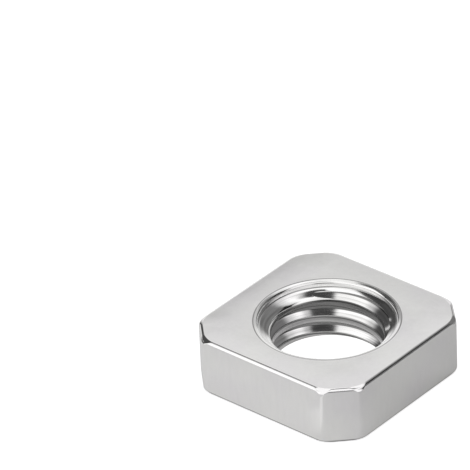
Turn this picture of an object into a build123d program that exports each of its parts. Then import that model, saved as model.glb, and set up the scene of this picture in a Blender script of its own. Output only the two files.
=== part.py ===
from math import cos, radians, tan
from build123d import *
from build123d.topology import SkipClean
import os

os.makedirs("parts", exist_ok=True)

# Square nut, M10 x 1.5, right hand. Millimetres, +Z up, origin in the middle of the bottom face.

# Blank
width_across_flats = 16.0
thickness = 4.9
corner_leg = 2.13           # each corner is cut back by this much along both sides
edge_radius = 0.32          # rolled edges of the top and bottom faces
upright_radius = 0.4        # upright edges, halfway up
rolled_radius = 2.6         # the same edges where they run into the top and bottom faces
roll_height = 0.6           # height over which one becomes the other

# Thread
thread_diameter = 10.0
thread_pitch = 1.5
minor_diameter = 8.75       # near the upper 7H limit of 8.751
flank_half_angle = 30.0
root_flat = thread_pitch / 8
tool_overlap = 0.25         # the groove profile starts this far inside the bore wall
thread_start = -1.9         # height of the groove's middle on the +X side, below the nut
thread_turns = 5

# Mouths of the bore
recess_step = 0.985         # short straight recess in the top face, this far outside the bore wall
recess_depth = 0.54
lip_width = 0.34            # the lip falls gently into the recess over this width
lip_slope = 17.0
lip_radius = 0.12           # its edge above the recess wall
funnel_outer_slope = 16.0   # the recess floor falls away gently,
funnel_inner_slope = 38.0   # then more steeply,
funnel_shoulder = 0.42      # the two slopes meeting this far inside the recess wall
funnel_rounding = 0.97      # share of the outer slope's length that the rounding there takes
crest_radius = 0.47         # rounding into the bore wall
sink_slope = 30.0           # cone of the bottom face, measured from the face
bottom_sink_diameter = 10.6
bore_sectors = 6            # the bore wall is cut in this many equal sectors

minor_radius = minor_diameter / 2
major_radius = thread_diameter / 2
recess_radius = minor_radius + recess_step
bottom_sink_radius = bottom_sink_diameter / 2
sink_rise = tan(radians(sink_slope))
recess_floor = thickness - recess_depth
shoulder_radius = recess_radius - funnel_shoulder
shoulder_height = recess_floor - funnel_shoulder * tan(radians(funnel_outer_slope))
shoulder_turn = radians(funnel_inner_slope - funnel_outer_slope)
outer_slope_length = funnel_shoulder / cos(radians(funnel_outer_slope))
funnel_radius = funnel_rounding * outer_slope_length / tan(shoulder_turn / 2)
funnel_drop = (shoulder_radius - minor_radius) * tan(radians(funnel_inner_slope))
funnel_end = shoulder_height - funnel_drop
bottom_sink_end = (bottom_sink_radius - minor_radius) * sink_rise
lip_start_radius = recess_radius + lip_width
lip_height = thickness - lip_width * tan(radians(lip_slope))


def outline(height, radius):
    # plan of the blank at one height, its eight upright edges rounded
    with BuildSketch(Plane.XY.offset(height)) as plan:
        Rectangle(width_across_flats, width_across_flats)
        chamfer(plan.vertices(), length=corner_leg)
        fillet(plan.vertices(), radius=radius)
    return plan.sketch


with BuildPart() as blank:
    add(outline(0, rolled_radius))
    add(outline(roll_height, upright_radius))
    loft(ruled=True)
    add(outline(roll_height, upright_radius))
    extrude(amount=thickness - 2 * roll_height)
    add(outline(thickness - roll_height, upright_radius))
    add(outline(thickness, rolled_radius))
    loft(ruled=True)
    fillet(faces().sort_by(Axis.Z)[-1].edges(), radius=edge_radius)
    fillet(faces().sort_by(Axis.Z)[0].edges(), radius=edge_radius)

# groove of the thread, an axial section carried along one turn of a helix
half_root = root_flat / 2
groove_inner_radius = minor_radius - tool_overlap
groove_depth = major_radius - groove_inner_radius
half_mouth = half_root + groove_depth * tan(radians(flank_half_angle))
with BuildPart() as groove_turn:
    with BuildLine() as path:
        Helix(
            pitch=thread_pitch,
            height=thread_pitch,
            radius=minor_radius,
            center=(0, 0, thread_start),
        )
    with BuildSketch(Plane.XZ):
        with BuildLine():
            Polyline(
                (groove_inner_radius, thread_start - half_mouth),
                (major_radius, thread_start - half_root),
                (major_radius, thread_start + half_root),
                (groove_inner_radius, thread_start + half_mouth),
                close=True,
            )
        make_face()
    sweep(path=path.line, is_frenet=True)

with BuildPart() as groove:
    with Locations([(0, 0, number * thread_pitch) for number in range(thread_turns)]):
        add(groove_turn.part)

# half section of what the turned bore takes away
shoulder_corner = (shoulder_radius, shoulder_height)
crest_corner = (minor_radius, funnel_end)
lip_corner = (recess_radius, lip_height)
with BuildSketch() as bore_profile:
    with BuildLine():
        Polyline(
            (lip_start_radius, thickness),
            (0, thickness),
            (0, 0),
            (bottom_sink_radius, 0),
            (minor_radius, bottom_sink_end),
            crest_corner,
            shoulder_corner,
            (recess_radius, recess_floor),
            lip_corner,
            close=True,
        )
    make_face()
    fillet(bore_profile.vertices().sort_by_distance(lip_corner)[0], radius=lip_radius)
    fillet(bore_profile.vertices().sort_by_distance(shoulder_corner)[0], radius=funnel_radius)
    fillet(bore_profile.vertices().sort_by_distance(crest_corner)[0], radius=crest_radius)

# The seams between the sectors are kept, so each stretch of thread crest is a short face.
with SkipClean():
    with BuildPart() as bore:
        for number in range(bore_sectors):
            turn = number * 360 / bore_sectors
            with BuildSketch(Plane.XZ.rotated((0, 0, turn))):
                add(bore_profile.sketch)
            revolve(axis=Axis.Z, revolution_arc=360 / bore_sectors, clean=False)

    with BuildPart() as nut:
        add(blank.part)
        add(bore.part, mode=Mode.SUBTRACT, clean=False)
        add(groove.part, mode=Mode.SUBTRACT, clean=False)

nut.part.label = "square_nut"
export_step(nut.part, "parts/square_nut.step")
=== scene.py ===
import bpy
import bmesh
from math import sin, cos, tan, radians, pi
from mathutils import Vector, Matrix


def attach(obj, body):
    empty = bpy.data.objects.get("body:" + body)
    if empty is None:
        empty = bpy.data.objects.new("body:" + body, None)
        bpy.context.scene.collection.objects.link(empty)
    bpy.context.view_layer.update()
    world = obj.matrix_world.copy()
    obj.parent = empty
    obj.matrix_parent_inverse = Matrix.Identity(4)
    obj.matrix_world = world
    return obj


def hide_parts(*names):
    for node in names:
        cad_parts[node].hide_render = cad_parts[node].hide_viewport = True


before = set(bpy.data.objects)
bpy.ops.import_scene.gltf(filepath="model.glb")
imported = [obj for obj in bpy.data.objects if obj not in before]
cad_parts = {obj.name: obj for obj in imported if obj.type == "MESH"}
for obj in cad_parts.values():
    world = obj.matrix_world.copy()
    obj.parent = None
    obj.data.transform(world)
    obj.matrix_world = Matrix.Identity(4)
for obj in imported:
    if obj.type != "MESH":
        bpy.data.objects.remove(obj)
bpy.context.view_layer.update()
print("frame loaded")

perMetre = 1000.0       # the nut is made in millimetres and brought to metres at the end


def meshObject(name, bm):
    mesh = bpy.data.meshes.new(name)
    bm.to_mesh(mesh)
    bm.free()
    piece = bpy.data.objects.new(name, mesh)
    bpy.context.scene.collection.objects.link(piece)
    return piece


def dropObject(piece):
    mesh = piece.data
    bpy.data.objects.remove(piece)
    bpy.data.meshes.remove(mesh)


def roundCorners(bm, verts, reach, steps):
    bmesh.ops.bevel(bm, geom=verts, offset=reach, affect="VERTICES", segments=steps, profile=0.5, material=-1)


nutBlank = {
    "side": 16.0,
    "thickness": 4.9,
    "cornerLeg": 2.13,
    "edgeRadius": 0.32,
    "crownWidth": 2.1,          # the faces fall away gently over this width
    "crownDrop": 0.045,
    "uprightRadius": 0.4,       # upright edges, halfway up
    "rolledRadius": 2.6,        # the same edges where they run into the faces
    "rollHeight": 0.6,          # height over which one becomes the other
    "rollLevels": (0.4, 0.5),   # further levels below that height
    "leastRadius": 0.1,
    "crownSteps": 7,
    "edgeSteps": 8,
    "cornerSteps": 8,
}


def outlineLoop(bm, inset, radius, height, keepFace):
    # one level of the blank's plan: a square, its corners cut, the eight corners of that rounded
    made = bmesh.ops.create_grid(bm, x_segments=1, y_segments=1, size=nutBlank["side"] / 2 - inset)
    face = made["verts"][0].link_faces[0]
    leg = nutBlank["cornerLeg"] - inset * (2 - 2 ** 0.5)
    roundCorners(bm, list(face.verts), leg, 1)
    face = [f for f in bm.faces if not f.tag and len(f.verts) == 8][-1]
    roundCorners(bm, list(face.verts), radius * tan(pi / 8), nutBlank["cornerSteps"])
    face = [f for f in bm.faces if not f.tag][-1]
    bmesh.ops.translate(bm, verts=list(face.verts), vec=(0, 0, height))
    edges = list(face.edges)
    if keepFace:
        face.tag = True
    else:
        bmesh.ops.delete(bm, geom=[face], context="FACES_ONLY")
    return edges


def makeBlank():
    size = nutBlank
    levels = []
    for step in range(size["crownSteps"]):
        share = step / size["crownSteps"]
        inset = size["edgeRadius"] + size["crownWidth"] * (1 - share)
        levels.append((inset, size["crownDrop"] * share ** 2))
    for step in range(size["edgeSteps"] + 1):
        turn = step * pi / 2 / size["edgeSteps"]
        height = size["crownDrop"] + size["edgeRadius"] * (1 - cos(turn))
        levels.append((size["edgeRadius"] * (1 - sin(turn)), height))
    levels += [(0, height) for height in (*size["rollLevels"], size["rollHeight"])]
    levels += [(inset, size["thickness"] - height) for inset, height in reversed(levels)]
    bm = bmesh.new()
    loops = []
    for inset, height in levels:
        fromFace = min(height, size["thickness"] - height)
        share = (1 - min(1, fromFace / size["rollHeight"])) ** 2
        radius = size["uprightRadius"] + (size["rolledRadius"] - size["uprightRadius"]) * share - inset
        loops.append(outlineLoop(bm, inset, max(radius, size["leastRadius"]), height, fromFace == 0))
    for lower, upper in zip(loops, loops[1:]):
        bmesh.ops.bridge_loops(bm, edges=lower + upper)
    bmesh.ops.recalc_face_normals(bm, faces=bm.faces)
    return meshObject("blank", bm)


nutBore = {
    "threadDiameter": 10.0,
    "pitch": 1.5,
    "minorDiameter": 8.75,
    "flankAngle": 30.0,
    "rootFlat": 0.19,
    "rootRounding": 0.05,
    "crestRounding": 0.07,
    "threadStart": -1.9,
    "turns": 5,
    "recessDiameter": 10.72,
    "recessDepth": 0.54,
    "recessRounding": 0.05,
    "lipWidth": 0.34,
    "lipSlope": 17.0,
    "lipStartRounding": 0.06,
    "lipRounding": 0.13,
    "funnelSlopes": (16.0, 38.0),
    "funnelShoulder": 0.42,     # width of the outer slope
    "shoulderRounding": 0.42,
    "mouthRounding": 0.23,      # from the funnel into the bore wall
    "sinkSlope": 30.0,
    "sinkRounding": 0.08,
    "bottomSinkDiameter": 10.6,
    "bottomLip": 0.12,
    "boreSteps": 9,             # in each rounding of the bore
    "threadSteps": 4,           # in each rounding of the thread
    "segments": 240,
}

# how far the two cutting tools reach past what they cut, and how exact their meshes are

toolMargins = {
    "height": 0.8,              # of the bore tool above and below the nut
    "width": 1.0,               # of the same, all round,
    "slope": 2.0,               # where it rises off the faces at this angle
    "overlap": 0.2,             # of the thread tool inside the bore wall,
    "flareAngle": 80.0,         # where it widens
    "flareShare": 0.35,
    "axisTolerance": 1e-6,
    "seamTolerance": 1e-4,
}


def drawProfile(bm, corners, base, steps):
    # a closed profile of radius, height over the base and reach of the rounding at each corner
    verts = [bm.verts.new((radius, 0, base + height)) for radius, height, reach in corners]
    bm.faces.new(verts)
    for vert, corner in zip(verts, corners):
        if corner[2]:
            roundCorners(bm, [vert], corner[2], steps)


def makeBoreTool():
    # everything the turned part of the bore takes away
    size = nutBore
    margins = toolMargins
    top = nutBlank["thickness"]
    rise = tan(radians(size["sinkSlope"]))
    minor = size["minorDiameter"] / 2
    recess = size["recessDiameter"] / 2
    sink = size["bottomSinkDiameter"] / 2
    floor = top - size["recessDepth"]
    flare = tan(radians(margins["slope"]))
    outer, inner = (tan(radians(angle)) for angle in size["funnelSlopes"])
    lipStart = recess + size["lipWidth"]
    lipHeight = top - size["lipWidth"] * tan(radians(size["lipSlope"]))
    shoulder = size["funnelShoulder"]
    shoulderHeight = floor - shoulder * outer
    funnelEnd = shoulderHeight - (recess - shoulder - minor) * inner
    bm = bmesh.new()
    drawProfile(bm, [
        (0, top + margins["height"], 0),
        (lipStart + margins["width"], top + margins["height"], 0),
        (lipStart + margins["width"], top + flare, 0),
        (lipStart, top, size["lipStartRounding"]),
        (recess, lipHeight, size["lipRounding"]),
        (recess, floor, size["recessRounding"]),
        (recess - shoulder, shoulderHeight, size["shoulderRounding"]),
        (minor, funnelEnd, size["mouthRounding"]),
        (minor, (sink - minor) * rise, size["sinkRounding"]),
        (sink, 0, size["bottomLip"]),
        (sink + margins["width"], -flare, 0),
        (sink + margins["width"], -margins["height"], 0),
        (0, -margins["height"], 0),
    ], 0, size["boreSteps"])
    bmesh.ops.delete(bm, geom=list(bm.faces), context="FACES_ONLY")
    onAxis = [e for e in bm.edges if all(abs(v.co.x) < margins["axisTolerance"] for v in e.verts)]
    bmesh.ops.delete(bm, geom=onAxis, context="EDGES")
    bmesh.ops.spin(bm, geom=list(bm.verts) + list(bm.edges), cent=(0, 0, 0), axis=(0, 0, 1),
                   dvec=(0, 0, 0), angle=2 * pi, steps=size["segments"], use_merge=True)
    bmesh.ops.remove_doubles(bm, verts=bm.verts, dist=margins["seamTolerance"])
    bmesh.ops.recalc_face_normals(bm, faces=bm.faces)
    return meshObject("boreTool", bm)


def grooveMouth():
    # half the groove's width at the bore wall
    depth = nutBore["threadDiameter"] / 2 - nutBore["minorDiameter"] / 2
    return nutBore["rootFlat"] / 2 + depth * tan(radians(nutBore["flankAngle"]))


def makeThreadTool():
    # the groove of the thread, a V with rounded crest edges, screwed up through the bore
    size = nutBore
    margins = toolMargins
    minor = size["minorDiameter"] / 2
    major = size["threadDiameter"] / 2
    half = size["rootFlat"] / 2
    mouth = grooveMouth()
    inner = minor - margins["overlap"]
    wide = mouth + margins["overlap"] * tan(radians(margins["flareAngle"])) * margins["flareShare"]
    bm = bmesh.new()
    drawProfile(bm, [
        (inner, wide, 0),
        (minor, mouth, size["crestRounding"]),
        (major, half, size["rootRounding"]),
        (major, -half, size["rootRounding"]),
        (minor, -mouth, size["crestRounding"]),
        (inner, -wide, 0),
    ], size["threadStart"], size["threadSteps"])
    bmesh.ops.spin(bm, geom=list(bm.verts) + list(bm.edges) + list(bm.faces), cent=(0, 0, 0),
                   axis=(0, 0, 1), dvec=(0, 0, size["pitch"] / size["segments"]),
                   angle=2 * pi * size["turns"], steps=size["segments"] * size["turns"])
    bmesh.ops.recalc_face_normals(bm, faces=bm.faces)
    return meshObject("threadTool", bm)


def applyModifiers(piece):
    bpy.context.view_layer.update()
    evaluated = piece.evaluated_get(bpy.context.evaluated_depsgraph_get())
    mesh = bpy.data.meshes.new_from_object(evaluated)
    piece.modifiers.clear()
    old = piece.data
    piece.data = mesh
    bpy.data.meshes.remove(old)


def cutAway(piece, tool):
    cut = piece.modifiers.new("cut", "BOOLEAN")
    cut.operation = "DIFFERENCE"
    cut.solver = "EXACT"
    cut.object = tool
    applyModifiers(piece)
    dropObject(tool)


nutMesh = {
    "mergeDistance": 2e-4,      # slivers that the cuts leave are shorter than this
    "sharpAngle": 22.0,         # edges that turn by more stay sharp
    "shadingWeight": 100,       # how far the large faces decide the shading
    "shadingTolerance": 0.0001,
}


def cleanMesh(piece):
    bm = bmesh.new()
    bm.from_mesh(piece.data)
    bmesh.ops.remove_doubles(bm, verts=bm.verts, dist=nutMesh["mergeDistance"])
    bmesh.ops.dissolve_degenerate(bm, edges=bm.edges, dist=nutMesh["mergeDistance"])
    for face in bm.faces:
        face.smooth = True
    sharp = radians(nutMesh["sharpAngle"])
    for edge in bm.edges:
        edge.smooth = not (edge.is_manifold and edge.calc_face_angle(0) > sharp)
    openEdges = [e for e in bm.edges if not e.is_manifold]
    print("nut mesh", len(bm.verts), "verts", len(bm.faces), "faces", "open edges", len(openEdges))
    bm.to_mesh(piece.data)
    bm.free()


def flattenShading(piece):
    # the large faces decide the shading of the small ones beside them
    level = piece.modifiers.new("flatFaces", "WEIGHTED_NORMAL")
    level.mode = "FACE_AREA"
    level.weight = nutMesh["shadingWeight"]
    level.thresh = nutMesh["shadingTolerance"]
    level.keep_sharp = True
    applyModifiers(piece)


nut = makeBlank()
cutAway(nut, makeBoreTool())
cutAway(nut, makeThreadTool())
nut.name = "squareNut"
nut.data.name = "squareNut"
cleanMesh(nut)
flattenShading(nut)
nut.data.transform(Matrix.Scale(1 / perMetre, 4))
nut.visible_glossy = False      # its own reflection is kept out of the bore, as the photo shows it
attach(nut, "root")
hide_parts("square_nut")


def addNode(tree, kind, inputs=None, **settings):
    # an input is either another node's output or a plain value
    node = tree.nodes.new(kind)
    for key, value in settings.items():
        setattr(node, key, value)
    for key, value in (inputs or {}).items():
        if isinstance(value, bpy.types.NodeSocket):
            tree.links.new(value, node.inputs[key])
        else:
            node.inputs[key].default_value = value
    return node


def mathNode(tree, operation, *values):
    return addNode(tree, "ShaderNodeMath", dict(enumerate(values)), operation=operation).outputs[0]


def dotNode(tree, first, second):
    node = addNode(tree, "ShaderNodeVectorMath", {0: first, 1: second}, operation="DOT_PRODUCT")
    return node.outputs["Value"]


def lengthNode(tree, vector):
    return addNode(tree, "ShaderNodeVectorMath", {0: vector}, operation="LENGTH").outputs["Value"]


def scaleNode(tree, vector, scale):
    node = addNode(tree, "ShaderNodeVectorMath", {0: vector, "Scale": scale}, operation="SCALE")
    return node.outputs["Vector"]


def blendNode(tree, share, first, second):
    # sockets 2 and 3 of the mix node take plain numbers
    inputs = {0: share, 2: first, 3: second}
    return addNode(tree, "ShaderNodeMix", inputs, data_type="FLOAT").outputs[0]


def blendColours(tree, share, first, second):
    # sockets 6 and 7 of the mix node take colours
    inputs = {0: share, 6: (*first, 1), 7: (*second, 1)}
    return addNode(tree, "ShaderNodeMix", inputs, data_type="RGBA").outputs[2]


def makeBand(tree, value, low, high, soft):
    # one between low and high, nothing outside, with soft ends; either end may be left out
    share = None
    for edge, outward in ((low, -1), (high, 1)):
        if edge is None:
            continue
        ends = {"Value": value, "From Min": edge + outward * soft / 2, "From Max": edge - outward * soft / 2}
        step = addNode(tree, "ShaderNodeMapRange", ends, interpolation_type="SMOOTHSTEP").outputs["Result"]
        share = step if share is None else mathNode(tree, "MULTIPLY", share, step)
    return share


def makeNoise(tree, place, stretch, scale, detail):
    stretched = addNode(tree, "ShaderNodeVectorMath", {0: place, 1: stretch}, operation="MULTIPLY")
    inputs = {"Vector": stretched.outputs["Vector"], "Scale": scale, "Detail": detail}
    return addNode(tree, "ShaderNodeTexNoise", inputs).outputs["Fac"]


platedSteel = {
    "colour": (0.905, 0.9, 0.888),
    "coolColour": (0.885, 0.872, 0.878),
    "roughness": 0.1,
    "roughnessSpread": 0.06,    # between the smoothest and the dullest marks
    "crestRoughness": 0.3,
    "crestPaintedShade": 0.4,          # painted shade on the drilled crests, darker than the flanks,
    "upperCrestPaintedShade": 0.2,     # the uppermost one most of all
    "crestEdgePaintedShade": 0.35,     # painted shade in dark lines along both edges of a crest
    "rootPaintedShade": 0.22,          # painted shade at the bottom of the groove
    "linePaintedShade": 0.42,          # painted shade in faint lines where the lip and the recess begin
    "rimPaintedShade": 0.27,           # painted shade on the rolled edge that the nut stands on
    "faceContrast": 0.08,
    "boreContrast": 1.5,
    "markHeight": 0.0005,       # millimetres, as the next two
    "boreMarkHeight": 0.005,
    "waveHeight": 0.03,         # the faces aren't dead flat
    # stretch along the three axes, scale and detail
    "boreMarks": ((0.8, 4.2, 4.2), 1.0, 5.0),
    "faceMarks": ((1.0, 1.0, 0.25), 3.0, 6.0),
    "clouds": ((1.0, 1.0, 1.0), 0.22, 2.0),
}

# lower end, upper end and softness of each band, most of them places of painted shade, in millimetres from
# the place named beside it

steelBands = {
    "bore": (None, 0.05, 0.1),                  # radius, from the start of the lip
    "crest": (None, 0.06, 0.05),                # radius, from the bore wall
    "crestHeight": (0.4, -0.3, 0.3),            # from the bottom face, from the recess floor
    "root": (-0.07, 0.04, 0.04),                # radius, from the bottom of the groove
    "rootHeight": (0.2, -0.2, 0.06),            # from the bottom face, from the recess floor
    "lipLine": (-0.03, 0.06, 0.06),             # radius, from the start of the lip
    "lipLineHeight": (-0.1, None, 0.02),        # from the top face
    "recessLine": (-0.05, 0.05, 0.04),          # radius, from the recess wall
    "recessLineHeight": (-0.04, 0.07, 0.04),    # from the recess floor
    "rim": (0.6, None, 0.2),                    # radius, from the bottom mouth of the bore
    "rimHeight": (None, 0.28, 0.14),            # from the bottom face
    "lowerCrestEdge": (-0.02, 0.07, 0.05),      # along the axis, from the groove below
    "upperCrestEdge": (-0.14, -0.03, 0.05),     # along the axis, from the groove above
    "upperCrest": (3.0, None, 0.3),             # height, the climb of the thread taken off
    "cool": (0.55, None, 0.3),                  # strength of the clouds, no length
}


def steelBand(tree, value, name, place=0, highPlace=None):
    # both ends are counted from one place, or the upper one from a place of its own
    low, high, soft = steelBands[name]
    highPlace = place if highPlace is None else highPlace
    low = None if low is None else place + low
    high = None if high is None else highPlace + high
    return makeBand(tree, value, low, high, soft)


def darken(tree, shade, mask, amount):
    # shade times one where the mask is nothing, times amount where it is one
    part = mathNode(tree, "MULTIPLY", mask, 1 - amount)
    return mathNode(tree, "MULTIPLY", shade, mathNode(tree, "SUBTRACT", 1.0, part))


def makePlatedSteel():
    values = platedSteel
    top = nutBlank["thickness"]
    pitch = nutBore["pitch"]
    minor = nutBore["minorDiameter"] / 2
    major = nutBore["threadDiameter"] / 2
    recess = nutBore["recessDiameter"] / 2
    recessFloor = top - nutBore["recessDepth"]
    lipStart = recess + nutBore["lipWidth"]
    sink = nutBore["bottomSinkDiameter"] / 2
    mouth = grooveMouth()
    material = bpy.data.materials.new("platedSteel")
    material.use_nodes = True
    tree = material.node_tree
    shader = tree.nodes["Principled BSDF"]

    # radius, height and angle of each point, and its height with the climb of the thread taken off
    place = scaleNode(tree, addNode(tree, "ShaderNodeTexCoord").outputs["Object"], perMetre)
    parts = addNode(tree, "ShaderNodeSeparateXYZ", {0: place})
    flat = addNode(tree, "ShaderNodeCombineXYZ", {0: parts.outputs[0], 1: parts.outputs[1]}).outputs[0]
    radius = lengthNode(tree, flat)
    height = parts.outputs[2]
    angle = mathNode(tree, "ARCTAN2", parts.outputs[1], parts.outputs[0])
    climb = mathNode(tree, "MULTIPLY", angle, pitch / (2 * pi))
    helix = mathNode(tree, "SUBTRACT", height, climb)
    fromStart = mathNode(tree, "SUBTRACT", helix, nutBore["threadStart"])
    phase = mathNode(tree, "WRAP", fromStart, pitch, 0)
    inBore = steelBand(tree, radius, "bore", lipStart)

    # fine marks: along the helix in the bore, at random on the faces and sides
    along = addNode(tree, "ShaderNodeCombineXYZ", {0: angle, 1: radius, 2: helix}).outputs[0]
    boreMarks = makeNoise(tree, along, *values["boreMarks"])
    faceMarks = makeNoise(tree, place, *values["faceMarks"])
    marks = blendNode(tree, inBore, faceMarks, boreMarks)
    clouds = makeNoise(tree, place, *values["clouds"])

    # where the crests, the root, the lines and the rim are
    crest = mathNode(tree, "MULTIPLY", steelBand(tree, radius, "crest", minor),
                     steelBand(tree, height, "crestHeight", 0, recessFloor))
    root = mathNode(tree, "MULTIPLY", steelBand(tree, radius, "root", major),
                    steelBand(tree, height, "rootHeight", 0, recessFloor))
    lipLine = mathNode(tree, "MULTIPLY", steelBand(tree, radius, "lipLine", lipStart),
                       steelBand(tree, height, "lipLineHeight", top))
    recessLine = mathNode(tree, "MULTIPLY", steelBand(tree, radius, "recessLine", recess),
                          steelBand(tree, height, "recessLineHeight", recessFloor))
    rim = mathNode(tree, "MULTIPLY", steelBand(tree, height, "rimHeight"),
                   steelBand(tree, radius, "rim", sink))
    crestEdges = mathNode(tree, "ADD", steelBand(tree, phase, "lowerCrestEdge", mouth),
                          steelBand(tree, phase, "upperCrestEdge", pitch - mouth))
    crestEdges = mathNode(tree, "MULTIPLY", crestEdges, crest)

    # colour: random tone from the marks, with painted shade on the crests, their edges, the root, the rim and
    # two lines
    contrast = blendNode(tree, inBore, values["faceContrast"], values["boreContrast"])
    shade = mathNode(tree, "MULTIPLY_ADD", mathNode(tree, "SUBTRACT", marks, 0.5), contrast, 1.0)
    # painted shade on the crests, most on the uppermost one
    upper = steelBand(tree, helix, "upperCrest")
    crestTone = blendNode(tree, upper, values["crestPaintedShade"], values["upperCrestPaintedShade"])
    shade = mathNode(tree, "MULTIPLY", shade, blendNode(tree, crest, 1.0, crestTone))
    # painted shade along both edges of each crest
    shade = darken(tree, shade, crestEdges, values["crestEdgePaintedShade"])
    # painted shade at the bottom of the groove
    shade = darken(tree, shade, root, values["rootPaintedShade"])
    # painted shade on the rolled edge at the bottom
    shade = darken(tree, shade, rim, values["rimPaintedShade"])
    # painted shade along the lines where the lip and the recess begin
    shade = darken(tree, shade, lipLine, values["linePaintedShade"])
    shade = darken(tree, shade, recessLine, values["linePaintedShade"])
    tint = blendColours(tree, steelBand(tree, clouds, "cool"), values["colour"], values["coolColour"])
    tree.links.new(scaleNode(tree, tint, shade), shader.inputs["Base Color"])
    shader.inputs["Metallic"].default_value = 1

    # roughness and relief
    spread = values["roughnessSpread"]
    dull = mathNode(tree, "MULTIPLY", crest, values["crestRoughness"] - values["roughness"])
    rough = mathNode(tree, "MULTIPLY", marks, spread)
    rough = mathNode(tree, "ADD", values["roughness"] - spread / 2, rough)
    tree.links.new(mathNode(tree, "ADD", rough, dull), shader.inputs["Roughness"])
    waves = addNode(tree, "ShaderNodeBump", {
        "Height": clouds, "Strength": 1.0, "Distance": values["waveHeight"] / perMetre})
    depth = blendNode(tree, inBore, values["markHeight"] / perMetre, values["boreMarkHeight"] / perMetre)
    bump = addNode(tree, "ShaderNodeBump", {
        "Height": marks, "Strength": 1.0, "Normal": waves.outputs["Normal"], "Distance": depth})
    tree.links.new(bump.outputs["Normal"], shader.inputs["Normal"])
    return material


nut.data.materials.clear()
nut.data.materials.append(makePlatedSteel())

# camera, as the photo was taken

view = {
    "yaw": 48.744,
    "elevation": 32.026,
    "roll": 2.5,
    "side": 0.016,              # metres, the nut's width across flats
    "perspective": 0.0418,      # that width as a share of the distance
    "pixelsPerSide": 208.02,
    "centre": (327.57, 344.92),     # of the nut, in pixels from the upper left
    "pixels": 470,
    "middlePixel": 234.5,
    "sensor": 36,
    "clip": (0.01, 100),
}


def viewAxes():
    yaw, elevation, roll = (radians(view[key]) for key in ("yaw", "elevation", "roll"))
    ahead = Vector((sin(yaw) * cos(elevation), cos(yaw) * cos(elevation), -sin(elevation)))
    right = Vector((cos(yaw), -sin(yaw), 0))
    up = Vector((sin(yaw) * sin(elevation), cos(yaw) * sin(elevation), cos(elevation)))
    turnedRight = right * cos(roll) - up * sin(roll)
    turnedUp = right * sin(roll) + up * cos(roll)
    return turnedRight, turnedUp, ahead


def makeCamera():
    right, up, ahead = viewAxes()
    side = view["side"]
    across = (view["centre"][0] - view["middlePixel"]) / view["pixelsPerSide"] * side
    along = (view["middlePixel"] - view["centre"][1]) / view["pixelsPerSide"] * side
    distance = side / view["perspective"]
    middle = Vector((0, 0, nutBlank["thickness"] / 2 / perMetre))
    data = bpy.data.cameras.new("camera")
    data.sensor_width = view["sensor"]
    data.lens = view["pixelsPerSide"] / view["perspective"] / view["pixels"] * view["sensor"]
    data.clip_start, data.clip_end = view["clip"]
    camera = bpy.data.objects.new("camera", data)
    place = Matrix.Translation(middle - right * across - up * along - ahead * distance)
    camera.matrix_world = place @ Matrix((right, up, -ahead)).transposed().to_4x4()
    bpy.context.scene.collection.objects.link(camera)
    bpy.context.scene.camera = camera


makeCamera()

# floor, lengths in metres; a band has a lower end, an upper end and a softness

floorFinish = {
    "size": 3.0,
    "colour": (0.66, 0.66, 0.66),
    "roughness": 0.9,
    "glow": 0.8,                # seen straight on
    "mirrored": 0.17,           # seen in the metal on the left
    "mirroredAcross": (0.01, -0.004),   # where that begins and where it is full
    "under": 0.4,               # seen in the bore's far wall
    "underReach": (None, 0.0055, 0.002),
    "front": 0.13,              # seen beside the near corner's left crease
    "frontAcross": (-0.0055, -0.0024, 0.0012),
    "frontAlong": (None, -0.01, 0.002),
    "far": 0.3,                 # seen in the near side of the lip
    "farAlong": (0.03, None, 0.02),
}


def makeFloor():
    values = floorFinish
    bm = bmesh.new()
    bmesh.ops.create_grid(bm, x_segments=1, y_segments=1, size=values["size"])
    floor = meshObject("floor", bm)
    material = bpy.data.materials.new("paleFloor")
    material.use_nodes = True
    tree = material.node_tree
    shader = tree.nodes["Principled BSDF"]
    shader.inputs["Base Color"].default_value = (*values["colour"], 1)
    shader.inputs["Roughness"].default_value = values["roughness"]
    shader.inputs["Specular IOR Level"].default_value = 0.0

    # the camera sees the floor evenly lit, the metal sees it lit in a few places only
    right, up, ahead = viewAxes()
    ahead.z = 0
    place = addNode(tree, "ShaderNodeTexCoord").outputs["Object"]
    across = dotNode(tree, place, right)
    along = dotNode(tree, place, ahead.normalized())
    away = lengthNode(tree, place)
    start, end = values["mirroredAcross"]
    ramp = {"Value": across, "From Min": start, "From Max": end, "To Min": 0.0, "To Max": values["mirrored"]}
    mirrored = addNode(tree, "ShaderNodeMapRange", ramp, interpolation_type="SMOOTHSTEP").outputs["Result"]
    under = makeBand(tree, away, *values["underReach"])
    front = mathNode(tree, "MULTIPLY", makeBand(tree, across, *values["frontAcross"]),
                     makeBand(tree, along, *values["frontAlong"]))
    far = makeBand(tree, along, *values["farAlong"])
    reflected = mathNode(tree, "MULTIPLY", under, values["under"])
    reflected = mathNode(tree, "MULTIPLY_ADD", front, values["front"], reflected)
    reflected = mathNode(tree, "MULTIPLY_ADD", far, values["far"], reflected)
    reflected = mathNode(tree, "ADD", mirrored, reflected)
    rays = addNode(tree, "ShaderNodeLightPath")
    direct = mathNode(tree, "MULTIPLY", rays.outputs["Is Camera Ray"], values["glow"])
    reflected = mathNode(tree, "MULTIPLY", rays.outputs["Is Glossy Ray"], reflected)
    tree.links.new(mathNode(tree, "ADD", direct, reflected), shader.inputs["Emission Strength"])
    shader.inputs["Emission Color"].default_value = (1, 1, 1, 1)
    floor.data.materials.append(material)


makeFloor()

# light: a studio seen as a plain white sky with a few darker and brighter places

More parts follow.
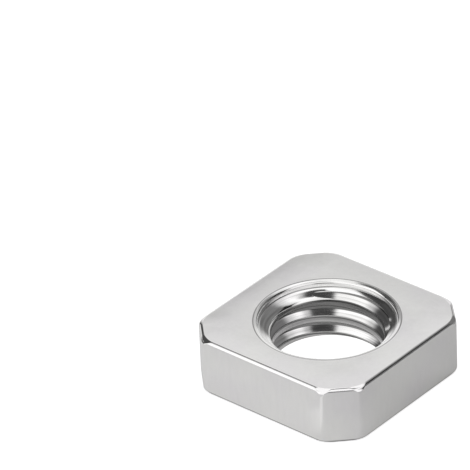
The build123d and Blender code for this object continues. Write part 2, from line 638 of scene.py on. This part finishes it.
# azimuth is turned from straight behind the nut to the right, as the camera sees it
studio = {
    "base": 0.7,
    "seen": 1.0,                # by the camera
    "patches": [
        # middle azimuth, half width, lowest and highest elevation, softness, brightness
        (0, 22, -20, 24, 6, 0.85),
        (0, 40, 24, 30, 5, 0.66),
        (-20, 21, 24, 30, 5, 0.5),
        (0, 40, 34, 60, 5, 0.8),
        (0, 180, 58, 91, 8, 1.08),
        (180, 60, 5, 91, 8, 1.08),
        (-105, 32, -20, 50, 8, 1.2),
        (-50, 30, 0, 50, 8, 0.07),
        (-48, 17, 22.5, 25.5, 2.5, 0.8),
        (54, 28, 0, 50, 8, 0.18),
        (93, 19, -20, 50, 6, 0.01),
        (90, 35, 12, 18, 3, 0.5),
        (178, 14, -2, 22, 5, 0.08),
        (178, 20, 12, 18, 3, 0.5),
    ],
    "discs": [
        # azimuth, elevation, radius, softness, brightness
        (82, 74, 8, 6, 0.6),
        (-37, 55, 10, 4, 0.05),
        (90, 82.5, 11, 5, 0.06),
    ],
}


def patchShare(tree, azimuth, elevation, patch):
    # a patch that reaches past 90 has no upper end, one of half width 180 goes all round
    middle, half, lowest, highest, soft = patch
    share = makeBand(tree, elevation, lowest, highest if highest < 90 else None, soft)
    if half < 180:
        turned = mathNode(tree, "WRAP", mathNode(tree, "SUBTRACT", azimuth, middle), 180, -180)
        beside = makeBand(tree, mathNode(tree, "ABSOLUTE", turned), None, half, soft)
        share = mathNode(tree, "MULTIPLY", share, beside)
    return share


def makeWorld():
    world = bpy.data.worlds.new("studio")
    bpy.context.scene.world = world
    world.use_nodes = True
    tree = world.node_tree
    background = tree.nodes["Background"]
    direction = addNode(tree, "ShaderNodeTexCoord").outputs["Generated"]
    yaw = radians(view["yaw"])
    behind = Vector((sin(yaw), cos(yaw), 0))
    right = Vector((cos(yaw), -sin(yaw), 0))
    away = dotNode(tree, direction, behind)
    across = dotNode(tree, direction, right)
    height = addNode(tree, "ShaderNodeSeparateXYZ", {0: direction}).outputs["Z"]
    azimuth = mathNode(tree, "DEGREES", mathNode(tree, "ARCTAN2", across, away))
    elevation = mathNode(tree, "DEGREES", mathNode(tree, "ARCSINE", height))
    total = studio["base"]
    for *patch, brightness in studio["patches"]:
        total = blendNode(tree, patchShare(tree, azimuth, elevation, patch), total, brightness)
    for turned, raised, wide, soft, brightness in studio["discs"]:
        level = cos(radians(raised))
        middle = behind * cos(radians(turned)) * level + right * sin(radians(turned)) * level
        middle.z = sin(radians(raised))
        off = mathNode(tree, "DEGREES", mathNode(tree, "ARCCOSINE", dotNode(tree, direction, middle)))
        total = blendNode(tree, makeBand(tree, off, None, wide, soft), total, brightness)
    rays = addNode(tree, "ShaderNodeLightPath")
    seen = blendNode(tree, rays.outputs["Is Camera Ray"], total, studio["seen"])
    tree.links.new(seen, background.inputs["Strength"])
    background.inputs["Color"].default_value = (1, 1, 1, 1)


makeWorld()
print("stage, light and camera done")

bpy.context.scene.view_settings.view_transform = "Standard"
